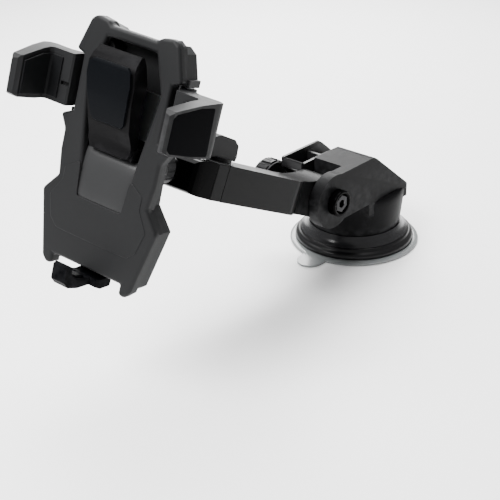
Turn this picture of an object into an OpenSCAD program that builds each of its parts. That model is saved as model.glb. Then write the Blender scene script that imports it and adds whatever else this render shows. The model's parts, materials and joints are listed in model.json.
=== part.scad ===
// Car phone mount: suction base with a lift lever, a telescopic arm on a pivot, a ball joint
// and a spring cradle whose side arms close when a phone presses the trigger.
// Millimetres. The origin is the centre of the suction pad's underside, +Z is up, the arm
// reaches towards -X, and the pivot nut is on the -Y side. "Side" is the distance along -Y.

/* [Suction base] */
// Radius of the gel pad
pad_r = 40; // [36:0.5:44]
// Radius of the suction ring
ring_r = 36.8; // [35:0.2:38]
// Radius of the round housing at its widest
dome_r = 30; // [29:0.5:31]
// Height of the top of the round housing
dome_top = 36.8; // [36:0.2:38]
// Side distance of the outer face of the cheek that carries the pivot
cheek_side = 25.8; // [25:0.1:27]
// Height of the flat top edge of the cheek
cheek_top = 66; // [64:0.5:68]

/* [Lock lever] */
// Distance of the hinge pin from the base centre
lever_pin_x = 9; // [8:0.5:10]
// Height of the hinge pin when the lever is closed
lever_pin_z = 35.5; // [35:0.5:36]

/* [Arm] */
// Distance of the arm pivot from the base centre, towards -X
pivot_reach = 52.4; // [51:0.2:54]
// Height of the arm pivot
pivot_height = 50.8; // [50:0.2:52]
// Angle of the arm above horizontal
arm_angle = 26.85; // [20:0.05:35]
// Length of the outer tube from the pivot
tube_end = 98; // [95:0.5:105]
// Length of the collar at the end of the outer tube
collar_len = 8.5; // [7:0.5:10]
// Width of the outer tube, along the pivot axis
tube_w = 27.3; // [26:0.1:28]
// Height of the outer tube
tube_h = 18.8; // [18:0.1:20]
// Distance from the pivot to the front end of the arm head
head_end = 121; // [118:0.5:125]

/* [Ball joint] */
// Distance of the ball's centre from the pivot, along the arm
ball_along = 136; // [134:0.5:138]
// Radius of the ball
ball_r = 6.5; // [6:0.1:6.6]

/* [Cradle] */
// Direction that the cradle faces, about the vertical
cradle_az = -79.4; // [-100:0.1:-60]
// Angle of the cradle's normal above horizontal
cradle_tilt = 16.4; // [10:0.1:30]
// Turn of the cradle about its own normal
cradle_roll = -7.6; // [-15:0.1:15]
// Thickness of the front shell's raised face
face_t = 3.6; // [3:0.1:4]
// Depth of the rear shell behind the seam
shell_depth = 11; // [10:0.5:12]
// Distance of each side arm's pin from the centre line
arm_pin_x = 27.5; // [27:0.1:28]

/* [Hidden] */
$fn = 72;
tiny = 0.01;
fit_gap = 0.05;            // radial clearance of a pin in its bore
black = "#1c1d1f";
charcoal = "#2b2d30";
rubber = "#26282b";
satin_grey = "#5a5c5f";
steel = "#b9bcc0";

pad_t = 2;                 // thickness of the gel pad
ring_top = 8.2;
step_top = 14;
ear_side = 18.9;           // inner face of the ear that carries the pivot
ear_r = 16;
far_ear = [-8, -1.6];      // side distances of the far ear
wedge_gap = 13.7;          // radius cleared round the arm's tongue
pivot_r = 3;
arm_mid_side = 12.25;      // side distance of the arm's centre plane
arm_mid_h = -2.9;          // height of the tube's centre line over the pivot line
tongue_r = 12.2;
tongue_side = [-0.7, 18.1];
ball_side = 9.5;
ball_h = -2.8;
liner_t = 0.6;
liner_gap = 0.05;
liner_in = ball_r + liner_gap;
liner_mid = liner_in + liner_t + liner_gap;
socket_in = liner_mid + liner_t + liner_gap;
ball_in_cradle = [1.22, -5.56, -28.8];
arm_pin_z = -6;
arm_pin_r = 1.5;
trigger_pin_y = 4;
trigger_pin_z = -5;
trigger_pin_r = 1.25;

// ---------- frames ----------

// Local x runs along the arm from the pivot, y is the side distance and z is square to the arm
module arm_frame() {
    translate([-pivot_reach, 0, pivot_height])
        rotate([0, -arm_angle, 180])
            children();
}

// Local x runs to the cradle's right, y up its face and z out of its face; z = 0 is the seam
module cradle_frame() {
    arm_frame()
        translate([ball_along, ball_side, ball_h])
            rotate([0, arm_angle, 0])
                rotate([0, 0, -180])
                    rotate([90 - cradle_tilt, 0, cradle_az])
                        rotate([0, 0, cradle_roll])
                            translate(-ball_in_cradle)
                                children();
}

// Extrudes an X-Z outline between two side distances
module side_plate(from, to) {
    rotate([90, 0, 0])
        translate([0, 0, from])
            linear_extrude(to - from)
                children();
}

// Extrudes an outline drawn in the arm's length-height plane between two side distances
module arm_side_plate(from, to) {
    translate([0, to, 0])
        rotate([90, 0, 0])
            linear_extrude(to - from)
                children();
}

// Extrudes a y-z outline along the cradle's x, centred
module cross_plate(width) {
    translate([-width / 2, 0, 0])
        rotate([90, 0, 90])
            linear_extrude(width)
                children();
}

// Extrudes an x-z outline along the cradle's y
module tall_plate(from, to) {
    translate([0, to, 0])
        rotate([90, 0, 0])
            linear_extrude(to - from)
                children();
}

module round_bar(from, to, r) {
    translate([0, 0, from])
        cylinder(h = to - from, r = r);
}

// A round bar along the side direction, through a point of the X-Z plane
module side_bar(x, z, from, to, r) {
    translate([x, -from, z])
        rotate([90, 0, 0])
            cylinder(h = to - from, r = r);
}

// Joins an outline's right half to its mirror image
function both_sides(half) = concat(half,
    [for (i = [len(half) - 1:-1:0]) [-half[i][0], half[i][1]]]);

// A closed coil of touching rings
module closed_coil(r, wire_r, turns) {
    pitch = wire_r * 1.9;
    rotate_extrude()
        for (i = [0:turns - 1])
            translate([r, i * pitch])
                circle(wire_r, $fn = 16);
}

// ---------- suction base ----------

module suction_pad() {
    tab_w = 16;
    tab_reach = 51.5;
    color("#d9dcdc") {
        difference() {
            union() {
                rotate_extrude()
                    polygon([[0, 0], [pad_r - 0.6, 0], [pad_r, 0.4], [pad_r, 1], [pad_r - 2.4, pad_t],
                        [0, pad_t]]);
                linear_extrude(1.2) {
                    translate([-tab_reach + tab_w / 2, 0])
                        circle(tab_w / 2);
                    translate([-tab_reach + tab_w / 2, -tab_w / 2])
                        square([tab_w, tab_w]);
                }
            }
            round_bar(1, pad_t + 1, 15.5);
        }
    }
}

module suction_ring() {
    color(black)
        rotate_extrude()
            polygon([[24, pad_t], [ring_r - 0.8, pad_t], [ring_r, pad_t + 0.6], [ring_r, 4],
                [ring_r - 0.7, 4.7], [ring_r - 1.6, 4.8], [ring_r - 1.9, 5.6], [ring_r - 3.4, 6.6],
                [32, 7.6], [30.4, ring_top], [24, ring_top]]);
}

module step_ring() {
    color(steel)
        rotate_extrude()
            polygon([[24, ring_top], [30.2, ring_top], [30.2, 10.4], [29.4, 10.9], [29.4, 12.6],
                [28.8, step_top], [24, step_top]]);
}

// Side outline shared by the cheek block and the lever: flat top, then the long rear slope
module cheek_outline(front, bottom, rear, rear_z) {
    polygon([[front, bottom], [front, cheek_top], [-21, cheek_top], [-16.2, 65.8], [-13.4, 64],
        [rear, rear_z], [rear + 0.4, rear_z - 3], [rear + 0.4, bottom]]);
}

module base_housing() {
    color(charcoal)
        difference() {
            union() {
                rotate_extrude()
                    polygon([[0, step_top], [28, step_top], [28.6, 18], [29.6, 27], [dome_r, 32],
                        [dome_r, 35], [29.3, 36.2], [28, dome_top], [0, dome_top]]);
                round_bar(ring_top, step_top + 1, 23.8);
                side_plate(-1.2, cheek_side) {
                    difference() {
                        cheek_outline(-38.4, 37.2, 18, 38.4);
                        translate([-100, 0])
                            square([50, 100]);
                    }
                    translate([-20, 29.6])
                        square([38.4, 8]);
                }
                side_plate(ear_side, cheek_side) {
                    translate([-pivot_reach, pivot_height])
                        circle(ear_r);
                    polygon([[-pivot_reach, cheek_top + 0.8], [-pivot_reach, 35], [-48, 37.2],
                        [-30, 37.2], [-30, cheek_top], [-48, cheek_top]]);
                }
                side_plate(far_ear[0], far_ear[1]) {
                    translate([-pivot_reach, pivot_height])
                        circle(8.5);
                    polygon([[-pivot_reach - 3, 43], [-34, dome_top], [-25, dome_top - 6],
                        [-25, dome_top], [-34, 44], [-44, 49], [-pivot_reach + 6, 56]]);
                }
            }
            // room for the arm's tongue
            side_bar(-pivot_reach, pivot_height, -1.3, ear_side, wedge_gap);
            // pivot bore
            side_bar(-pivot_reach, pivot_height, -20, 40, pivot_r + fit_gap);
            // spring chamber, stem guide and yoke chamber
            round_bar(0, step_top + 0.2, 9.5);
            round_bar(0, 22, 5 + fit_gap);
            translate([-5.6, -5.6, 19.8])
                cube([18.8, 19.2, 6]);
            translate([4.4, 7.4, 25])
                cube([9.4, 5.2, 4]);
            // seat of the cam plate
            translate([0, 2.2, 27.6])
                cube([14, 15, 2]);
            // pocket for the lever's knuckles
            translate([-1, 1.9, 28.5])
                cube([19.6, 15.6, 12]);
            // hollow of the near half
            intersection() {
                rotate_extrude()
                    polygon([[12, 10], [21, 10], [21, step_top], [25, step_top + 2], [26.2, 33], [12, 33]]);
                translate([-50, -51, 0])
                    cube([100, 50, 60]);
            }
            side_plate(2, 23)
                polygon([[-33, 40.5], [-33, 62.5], [-21, 62.5], [-15.5, 61], [13, 37.5], [13, 31],
                    [-14, 31], [-20, 40.5]]);
            // screw holes
            for (a = [45, 135, 225, 315])
                rotate([0, 0, a])
                    translate([17, 0, 0])
                        round_bar(5, 13, 1.2);
        }
}

module base_screws() {
    color(steel)
        for (a = [45, 135, 225, 315])
            rotate([0, 0, a])
                translate([17, 0, 0]) {
                    round_bar(ring_top - 1.4, ring_top, 2.4);
                    round_bar(ring_top - tiny, 13, 1.2);
                }
}

module pivot_boss() {
    color(black)
        difference() {
            side_bar(-pivot_reach, pivot_height, cheek_side, cheek_side + 5, 7.6);
            side_bar(-pivot_reach, pivot_height, cheek_side - 1, cheek_side + 6, 5.6);
        }
}

module pivot_bolt() {
    color(steel) {
        side_bar(-pivot_reach, pivot_height, -24, cheek_side + 1, pivot_r);
        translate([-pivot_reach, -cheek_side, pivot_height])
            rotate([90, 30, 0])
                difference() {
                    cylinder(h = 4.4, r = 5.4, $fn = 6);
                    translate([0, 0, 2])
                        cylinder(h = 4, r = 2.4, $fn = 6);
                }
    }
}

module pivot_washers() {
    color(steel)
        for (side = [tongue_side[0] - 0.85, tongue_side[1] + 0.05])
            difference() {
                side_bar(-pivot_reach, pivot_height, side, side + 0.7, 8);
                side_bar(-pivot_reach, pivot_height, side - 1, side + 2, pivot_r + fit_gap);
            }
}

module stem_spring() {
    color(steel)
        translate([0, 0, 6.6 + 0.6])
            for (i = [0:4])
                translate([0, 0, i * 1.42])
                    rotate_extrude()
                        translate([7.2, 0])
                            circle(0.6, $fn = 16);
}

module cam_plate() {
    color(steel)
        translate([0, 2.2, 27.6])
            difference() {
                cube([14, 15, 0.9]);
                translate([4.4, 5.2, -1])
                    cube([10, 5.2, 3]);
            }
}

module suction_stem() {
    color(black)
        difference() {
            union() {
                round_bar(4.2, 6.5, 14);
                round_bar(6, 24, 5);
                translate([-5.2, -5.2, 23])
                    cube([18, 18, 2.5]);
                side_plate(-12.2, -7.8) {
                    translate([lever_pin_x, lever_pin_z])
                        circle(3.7);
                    translate([lever_pin_x - 3.7, 24])
                        square([7.4, lever_pin_z - 24]);
                }
            }
            side_bar(lever_pin_x, lever_pin_z, -30, 0, 1.8);
        }
}

module lever_pin() {
    color(steel)
        side_bar(lever_pin_x, lever_pin_z, -16.8, -3.2, 1.8);
}

// ---------- lock lever ----------

// One knuckle of the lever: a round eye with the cam lobe that bears on the steel plate
module lever_knuckle(from, to) {
    side_plate(from, to) {
        translate([lever_pin_x, lever_pin_z])
            circle(3.85);
        translate([lever_pin_x - 2.57, lever_pin_z - 3.06])
            circle(3.75);
        polygon([[lever_pin_x - 3.8, lever_pin_z], [lever_pin_x + 3.8, lever_pin_z],
            [lever_pin_x + 5, 42], [lever_pin_x - 12, 47]]);
    }
}

module lock_lever() {
    far = -17.1;
    near = -2.1;
    wall = 1.6;
    color(charcoal)
        difference() {
            union() {
                // outer wall
                side_plate(far, far + wall)
                    polygon([[-49.2, 60], [-49.2, 65.4], [-48.4, cheek_top], [-21, cheek_top],
                        [-16.2, 65.8], [-13.4, 64], [15, 39.6], [15, 38.8], [-30, 38.8], [-40, 48]]);
                // inner wall, lower at the pivot end
                side_plate(near - wall, near)
                    polygon([[-47, 60.4], [-47, 64.5], [-23.6, 64.5], [8, 40.4], [8, 38.8], [-27, 41],
                        [-36, 54]]);
                // curved front lip
                side_plate(far, near)
                    polygon([[-49.2, 60.6], [-49.2, 64.6], [-48.6, 65.6], [-46.8, 65], [-46.8, 61.6],
                        [-45.6, 60.2], [-47.2, 58.9]]);
                // floor
                side_plate(far, near)
                    polygon([[-47.2, 58.9], [-45.4, 60.4], [-29, 48.4], [6, 41.4], [13, 40.6],
                        [13, 38.9], [5, 39.2], [-29.6, 46.4]]);
                // cross rib
                side_plate(far, near)
                    polygon([[-28, 47], [-28, 63], [-26.4, 63], [-26.4, 47]]);
                // latch bracket
                side_plate(-13.5, -6.2)
                    polygon([[-10, 43], [-10, 55.5], [-8.4, 55.5], [-8.4, 46], [4, 44], [4, 47],
                        [5.6, 46.6], [5.6, 40.6]]);
                // rear wall
                side_plate(far, near)
                    polygon([[13.4, 38.9], [13.4, 40.8], [15, 39.6], [15, 38.9]]);
                lever_knuckle(-16.6, -12.4);
                lever_knuckle(-7.6, -3.4);
            }
            side_bar(lever_pin_x, lever_pin_z, -17.2, -2, 1.8 + fit_gap);
            side_plate(-12.4, -7.6) {
                translate([lever_pin_x, lever_pin_z])
                    circle(4.4);
            }
            side_plate(-10.8, -9)
                polygon([[-12, 50], [-12, 60], [-6, 60], [-6, 50]]);
        }
}

// ---------- pivot and telescope clamps ----------

module pivot_knob() {
    lobes = 10;
    disc_r = 12.4;
    color(black)
        difference() {
            union() {
                side_bar(-pivot_reach, pivot_height, -28.6, -18.9, disc_r - 0.9);
                side_bar(-pivot_reach, pivot_height, -27.6, -20.2, disc_r);
                side_bar(-pivot_reach, pivot_height, -19, far_ear[0] - 0.2, 5.6);
            }
            side_bar(-pivot_reach, pivot_height, -24.2, 0, pivot_r + fit_gap);
            for (i = [0:lobes - 1])
                translate([-pivot_reach, 0, pivot_height])
                    rotate([0, i * 360 / lobes, 0])
                        translate([disc_r + 1.2, 0, 0])
                            side_bar(0, 0, -30, -18, 2);
        }
}

// Side distance of the near face, easing from the tongue out to the full width
function near_face(s) = s < 22 ? tongue_side[1]
    : s > 40 ? arm_mid_side + tube_w / 2
    : tongue_side[1] + (arm_mid_side + tube_w / 2 - tongue_side[1]) * (1 - cos(10 * (s - 22))) / 2;

module outer_arm_tube() {
    top = arm_mid_h + tube_h / 2;
    bottom = arm_mid_h - tube_h / 2;
    far = arm_mid_side - tube_w / 2;
    color(satin_grey)
        arm_frame()
            difference() {
                intersection() {
                    arm_side_plate(-10, 40) {
                        circle(tongue_r);
                        polygon([[0, bottom], [tube_end, bottom], [tube_end, top], [26, top],
                            [20, top + 0.3], [14, top + 1.4], [9, top + 2.8], [4, 11.5], [0, tongue_r]]);
                    }
                    translate([0, 0, -20])
                        linear_extrude(40)
                            polygon(concat([[-20, tongue_side[0]], [10, tongue_side[0]], [22, far],
                                [tube_end, far], [tube_end, near_face(tube_end)]],
                                [for (s = [40:-1.5:22]) [s, near_face(s)]], [[-20, near_face(0)]]));
                }
                translate([44, arm_mid_side - 12.3, arm_mid_h - 7.45])
                    cube([80, 24.6, 14.9]);
                translate([0, -10, 0])
                    rotate([-90, 0, 0])
                        cylinder(h = 60, r = pivot_r + fit_gap);
                translate([92, arm_mid_side, 0])
                    cylinder(h = 20, r = 2.5 + fit_gap);
            }
}

module arm_collar() {
    far = arm_mid_side - tube_w / 2;
    color(satin_grey)
        arm_frame()
            difference() {
                translate([tube_end, far, arm_mid_h - tube_h / 2])
                    cube([collar_len, tube_w, tube_h]);
                translate([tube_end - 1, arm_mid_side - 12.3, arm_mid_h - 7.45])
                    cube([collar_len + 2, 24.6, 14.9]);
            }
}

module clamp_shoe() {
    color(black)
        arm_frame()
            translate([86, arm_mid_side - 8, arm_mid_h + 7.3])
                cube([12, 16, 0.15]);
}

module telescope_knob() {
    paddle_t = 5;
    color(black)
        arm_frame()
            translate([92, arm_mid_side, 0]) {
                round_bar(4.7, 8, 2.5);
                round_bar(6.6, 8.6, 6.5);
                translate([0, paddle_t / 2, 0])
                    rotate([90, 0, 0])
                        linear_extrude(paddle_t)
                            polygon([[-9.5, 8], [-10.2, 10.4], [-9.2, 16.2], [-5.4, 18.9], [5.4, 19.6],
                                [9.6, 18.2], [10.4, 11.4], [8.8, 8]]);
            }
}

module inner_arm_tube() {
    color(black)
        arm_frame()
            difference() {
                translate([45.5, arm_mid_side - 12.1, arm_mid_h - 7.25])
                    cube([tube_end + collar_len + 3 - 45.5, 24.2, 14.5]);
                translate([44, arm_mid_side - 10.1, arm_mid_h - 5.25])
                    cube([60, 20.2, 10.5]);
            }
}

module arm_head() {
    start = tube_end + collar_len + 0.3;
    color(black)
        arm_frame()
            difference() {
                intersection() {
                    arm_side_plate(-20, 50)
                        polygon([[start, arm_mid_h - 9.2], [start, arm_mid_h + 9.2],
                            [head_end - 5, arm_mid_h + 9], [head_end - 1.6, arm_mid_h + 8],
                            [head_end, arm_mid_h + 6.2], [head_end, arm_mid_h - 7.4],
                            [head_end - 1.6, arm_mid_h - 8.4], [head_end - 6, arm_mid_h - 8.9]]);
                    translate([0, 0, -30])
                        linear_extrude(60)
                            polygon([[start, arm_mid_side - 13.6], [head_end - 6, arm_mid_side - 13.2],
                                [head_end - 1.4, arm_mid_side - 12], [head_end, arm_mid_side - 10],
                                [head_end, arm_mid_side + 10.6], [head_end - 1.4, arm_mid_side + 12.4],
                                [head_end - 5, arm_mid_side + 13.4], [start, arm_mid_side + 13.6]]);
                }
                translate([start - 1, arm_mid_side - 12.1, arm_mid_h - 7.25])
                    cube([4.2, 24.2, 14.5]);
                translate([0, ball_side, ball_h])
                    rotate([0, 90, 0])
                        round_bar(head_end - 4, head_end + 1, 3.4);
            }
}

// ---------- ball joint ----------

module ball_stud() {
    color(steel)
        arm_frame()
            translate([0, ball_side, ball_h]) {
                translate([ball_along, 0, 0])
                    sphere(ball_r);
                rotate([0, 90, 0])
                    round_bar(head_end - 4, ball_along, 3.4);
                rotate([0, 90, 0])
                    round_bar(head_end - tiny, head_end + 1.6, 6);
            }
}

// A hemispherical friction cup round the ball, open towards the arm
module liner_cup(inner_r) {
    cradle_frame()
        translate(ball_in_cradle)
            rotate_extrude()
                intersection() {
                    difference() {
                        circle(inner_r + liner_t, $fn = 96);
                        circle(inner_r, $fn = 96);
                    }
                    translate([0, 0.2])
                        square(20);
                }
}

module ball_liner_inner() {
    color("#8c8f93")
        liner_cup(liner_in);
}

module ball_liner_outer() {
    color("#6f7276")
        liner_cup(liner_mid);
}

module ball_nut() {
    nut_r = 10.4;
    grips = 16;
    color(black)
        cradle_frame()
            translate(ball_in_cradle)
                difference() {
                    union() {
                        rotate_extrude()
                            polygon([[0, -0.1], [nut_r - 0.4, -0.1], [nut_r, -0.6], [nut_r, -6.6],
                                [nut_r - 1, -7.8], [0, -7.8]]);
                        translate([0, nut_r - 1, -4.2])
                            cube([6, 4.4, 6], center = true);
                    }
                    rotate_extrude()
                        polygon([[0, 1], [socket_in, 1], [socket_in, -2.9], [6, -3.6], [6, -4],
                            [5.7, -4.2], [8, -9], [0, -9]]);
                    sphere(ball_r + liner_gap);
                    for (i = [0:grips - 1])
                        rotate([0, 0, i * 360 / grips])
                            translate([nut_r + 0.5, 0, -6.4])
                                cylinder(h = 5.6, r = 0.9);
                }
}

module ball_socket() {
    socket_r = 11;
    color(charcoal)
        cradle_frame()
            translate(ball_in_cradle)
                difference() {
                    rotate_extrude()
                        polygon([[0, 0], [socket_r - 0.6, 0], [socket_r, 0.7], [socket_r, 9],
                            [socket_r + 0.8, 12.4], [socket_r + 4, 14.2], [socket_r + 4, 15.8],
                            [0, 15.8]]);
                    sphere(socket_in);
                }
}

// ---------- cradle shells ----------

front_half = [[12.6, 56.5], [14.5, 58.3], [21, 59.3], [24.3, 57.2], [29.5, 42], [24.8, 40.5],
    [24.8, 14.5], [31.3, 11.5], [27.6, 5], [27.6, -4.5], [26, -16.5], [33.6, -25.5], [26.4, -57],
    [23.5, -59.8], [20.3, -59], [20.3, -54]];
rear_half = [[12, 54], [14.5, 55.6], [20.6, 56.4], [24.4, 53.8], [28.4, 42.2], [22.6, 40.8],
    [22.6, 14.2], [27.4, 11.4], [22.4, 8.8], [22.4, -7], [22.8, -16], [31.8, -26], [25.6, -55],
    [23, -57.2], [19.4, -56.4], [19, -52.6]];
back_half = [[11, 51], [18.6, 52.4], [21, 40.8], [17.4, 38], [17.4, 14], [18, 8],
    [17.4, -12], [22, -19], [28.4, -27], [23.6, -51.6], [18.6, -50.6]];
channel_half = [[13.5, 51.4], [20, 34], [17, 13], [14.5, -5], [13, -22]];

module front_shell() {
    color(charcoal)
        cradle_frame()
            difference() {
                union() {
                    linear_extrude(1.4)
                        polygon(both_sides(front_half));
                    linear_extrude(face_t)
                        offset(delta = -1.6)
                            polygon(both_sides(front_half));
                    translate([0, 0, -1.8])
                        linear_extrude(2)
                            difference() {
                                offset(delta = -2.8)
                                    polygon(both_sides(rear_half));
                                offset(delta = -4.4)
                                    polygon(both_sides(rear_half));
                            }
                }
                difference() {
                    translate([0, 0, -5])
                        linear_extrude(20)
                            polygon(both_sides(channel_half));
                    cross_plate(40)
                        polygon([[-23, 3.6], [-21, 3.4], [-14, 3], [-7, 2.2], [-1, 0.9], [1.2, 0.1],
                            [1.2, -1.8], [-23, -1.8]]);
                }
                for (side = [-1, 1])
                    translate([side * arm_pin_x, 27.4, -8])
                        cube([10, 26, 16], center = true);
            }
}

module rear_shell() {
    notch_y = [14.6, 40.4];
    hub_r = 4.3;
    color(charcoal)
        cradle_frame()
            difference() {
                union() {
                    difference() {
                        union() {
                            translate([0, 0, -3])
                                linear_extrude(3 - tiny)
                                    offset(delta = -0.4)
                                        polygon(both_sides(front_half));
                            translate([0, 0, -shell_depth])
                                linear_extrude(shell_depth - 3 + tiny)
                                    polygon(both_sides(rear_half));
                            translate([0, 0, -shell_depth - 2])
                                linear_extrude(2 + tiny)
                                    polygon(both_sides(back_half));
                        }
                        // hollow
                        translate([0, 0, 2 - shell_depth])
                            linear_extrude(20)
                                offset(delta = -2.2)
                                    polygon(both_sides(rear_half));
                        translate([0, 0, -shell_depth])
                            linear_extrude(20)
                                offset(delta = -3)
                                    polygon(both_sides(back_half));
                    }
                    // bearing posts of the trigger pin
                    for (side = [-1, 1])
                        translate([side * 14.6 - 1.4, 0.6, -shell_depth])
                            cube([2.8, 6.8, 8.4]);
                    // bearing blocks of the arm pins
                    for (side = [-1, 1])
                        for (y = [11.2, 40.6])
                            translate([side * 25.9 - 4.1, y, -10.2])
                                cube([8.2, 3.2, 8]);
                    // screw posts
                    for (side = [-1, 1])
                        for (y = [46, -40])
                            translate([side * 15.6, y, -shell_depth])
                                cylinder(h = 8.6, r = 2.8);
                }
                // slots where the arms' tails reach the sync plate
                for (side = [-1, 1])
                    translate([side * 22, 27.4, -6.4])
                        cube([8, 12.4, 9], center = true);
                for (side = [-1, 1])
                    translate([side * arm_pin_x, 0, arm_pin_z])
                        rotate([-90, 0, 0]) {
                            translate([0, 0, notch_y[0]])
                                cylinder(h = notch_y[1] - notch_y[0], r = hub_r);
                            cylinder(h = 43.2, r = arm_pin_r);
                        }
                for (side = [-1, 1])
                    translate([side * 31, 27.5, -4])
                        cube([12, 25.8, 20], center = true);
                translate([-16.4, trigger_pin_y, trigger_pin_z])
                    rotate([0, 90, 0])
                        cylinder(h = 32.8, r = trigger_pin_r);
                // screw holes
                for (side = [-1, 1])
                    for (y = [46, -40])
                        translate([side * 15.6, y, -30])
                            cylinder(h = 27, r = 1.1);
                // guide of the foot
                translate([-8.3, -70, -7.6])
                    cube([16.6, 40, 3.6]);
                // windows of the release buttons
                for (side = [-1, 1])
                    translate([side * 22, 1.6, -6])
                        cube([6, 4.6, 4.2], center = true);
            }
}

module trigger_pin() {
    color(steel)
        cradle_frame()
            translate([-16, trigger_pin_y, trigger_pin_z])
                rotate([0, 90, 0])
                    cylinder(h = 32, r = trigger_pin_r);
}

module arm_pins() {
    color(steel)
        cradle_frame()
            for (side = [-1, 1])
                translate([side * arm_pin_x, 11.6, arm_pin_z])
                    rotate([-90, 0, 0])
                        cylinder(h = 31.6, r = arm_pin_r);
}

module arm_springs() {
    color(steel)
        cradle_frame()
            for (side = [-1, 1])
                translate([side * arm_pin_x, 15.2, arm_pin_z])
                    rotate([-90, 0, 0])
                        closed_coil(2.6, 0.4, 4);
}

module back_screws() {
    color(steel)
        cradle_frame()
            for (side = [-1, 1])
                for (y = [46, -40])
                    translate([side * 15.6, y, 0]) {
                        translate([0, 0, -shell_depth - 3])
                            difference() {
                                cylinder(h = 1 - tiny, r = 2.3);
                                translate([0, 0, -1])
                                    cylinder(h = 1.6, r = 1.2, $fn = 6);
                            }
                        translate([0, 0, -shell_depth - 2.1])
                            cylinder(h = 8, r = 1.1);
                    }
}

// ---------- trigger ----------

module trigger_lever() {
    color(rubber)
        cradle_frame()
            difference() {
                union() {
                    intersection() {
                        cross_plate(40)
                            polygon([[2.2, 1.6], [1.4, 3], [2, 4.4], [9, 5.4], [14.5, 8.2], [26, 11.8],
                                [36, 13.6], [41.5, 14.4], [44.8, 13.2], [48.6, 10], [48.4, 8.2],
                                [45, 6.4], [36, 4.2], [20, 2], [9, 0]]);
                        translate([0, 0, -10])
                            linear_extrude(40)
                                polygon(both_sides([[9.8, 50.2], [11.4, 49.4], [12, 46], [13.3, 36],
                                    [12.4, 26], [11.6, 15], [12.2, 6], [10.8, 2.6], [5.6, 1.2]]));
                    }
                    for (side = [-1, 1])
                        translate([side * 10.8 - 1.5, 0, 0])
                            rotate([90, 0, 90])
                                linear_extrude(3) {
                                    translate([trigger_pin_y, trigger_pin_z])
                                        circle(2.8);
                                    translate([trigger_pin_y - 2.4, trigger_pin_z])
                                        square([5.2, 8]);
                                }
                    translate([-4, 12.2, -2.6])
                        cube([8, 1.8, 8]);
                }
                translate([-20, trigger_pin_y, trigger_pin_z])
                    rotate([0, 90, 0])
                        cylinder(h = 40, r = trigger_pin_r + fit_gap);
            }
}

module trigger_pad() {
    color("#30343a")
        cradle_frame()
            intersection() {
                cross_plate(40)
                    polygon([[15.4, 8.5], [26, 11.82], [36, 13.62], [41.5, 14.42], [43.4, 13.75],
                        [43.4, 15.1], [41.4, 15.9], [30, 14.2], [22, 12], [16, 9.8]]);
                translate([0, 0, -10])
                    linear_extrude(40)
                        polygon(both_sides([[9, 43.4], [11.3, 41.4], [12, 36], [11, 27],
                            [9.2, 17.5], [7.6, 15.6]]));
            }
}

module sync_plate() {
    color(steel)
        cradle_frame()
            difference() {
                translate([0, 22, -3.7])
                    cube([32, 22, 1.2], center = true);
                translate([0, 24, -3.7])
                    cube([14, 10, 3], center = true);
            }
        cradle_frame()
            for (side = [-1, 1])
                translate([side * 17.6, 27.4, -3.9])
                    color(steel)
                        cube([4.2, 9, 1.6], center = true);
}

// ---------- side arms ----------

// The right arm; the left one is its mirror image
module side_arm() {
    difference() {
        union() {
            intersection() {
                tall_plate(14, 42)
                    polygon([[28.2, 0.6], [28.2, 4.2], [29, 5], [40, 5], [41.4, 6.6], [39.4, 25.4],
                        [40.6, 27.4], [43.2, 28], [44.6, 26.6], [49.4, 1.6], [48.8, -1.6], [46, -3],
                        [36, -2.4], [31.4, -4.6], [28.2, -3]]);
                translate([20, 0, 0])
                    rotate([90, 0, 90])
                        linear_extrude(40)
                            polygon([[15.4, -5], [15.4, 12], [16.6, 25], [18.4, 28.4], [33, 28.4],
                                [35.4, 26], [38.4, 12], [39.6, 3], [39.6, -5]]);
            }
            translate([arm_pin_x, 0, arm_pin_z])
                rotate([-90, 0, 0])
                    translate([0, 0, 19])
                        cylinder(h = 20.8, r = 3.7);
            // tail that follows the sync plate
            translate([19.4, 23.4, -6.9])
                cube([8, 8, 1.9]);
        }
        translate([arm_pin_x, 0, arm_pin_z])
            rotate([-90, 0, 0])
                cylinder(h = 60, r = arm_pin_r + fit_gap);
        translate([arm_pin_x, 14, arm_pin_z])
            rotate([-90, 0, 0])
                cylinder(h = 5, r = 3.6);
        translate([28.6, 24.2, 3.4])
            cube([4.6, 1.8, 3]);
    }
}

module side_arm_pad() {
    intersection() {
        tall_plate(17.4, 36.4)
            polygon([[33.8, 5.01], [33.8, 5.9], [39.4, 5.9], [40.2, 7], [38.4, 24.6], [39.3, 25],
                [41.25, 6.7], [40, 5.01]]);
        translate([20, 0, 0])
            rotate([90, 0, 90])
                linear_extrude(40)
                    polygon([[17.4, 0], [17.4, 12], [18.2, 24.6], [33.4, 24.6], [36.4, 12], [36.4, 0]]);
    }
}

module right_arm() {
    color(charcoal)
        cradle_frame()
            side_arm();
}

module left_arm() {
    color(charcoal)
        cradle_frame()
            mirror([1, 0, 0])
                side_arm();
}

module right_arm_pad() {
    color(rubber)
        cradle_frame()
            side_arm_pad();
}

module left_arm_pad() {
    color(rubber)
        cradle_frame()
            mirror([1, 0, 0])
                side_arm_pad();
}

// ---------- release buttons ----------

module release_button() {
    translate([0, 1.6, -6]) {
        translate([18.4, -2.2, -2])
            cube([6.6, 4.4, 4]);
        translate([18.4, -3.2, -2.6])
            cube([1.2, 6.4, 5.2]);
    }
}

module right_release() {
    color(satin_grey)
        cradle_frame()
            release_button();
}

module left_release() {
    color(satin_grey)
        cradle_frame()
            mirror([1, 0, 0])
                release_button();
}

// ---------- bottom foot ----------

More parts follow.
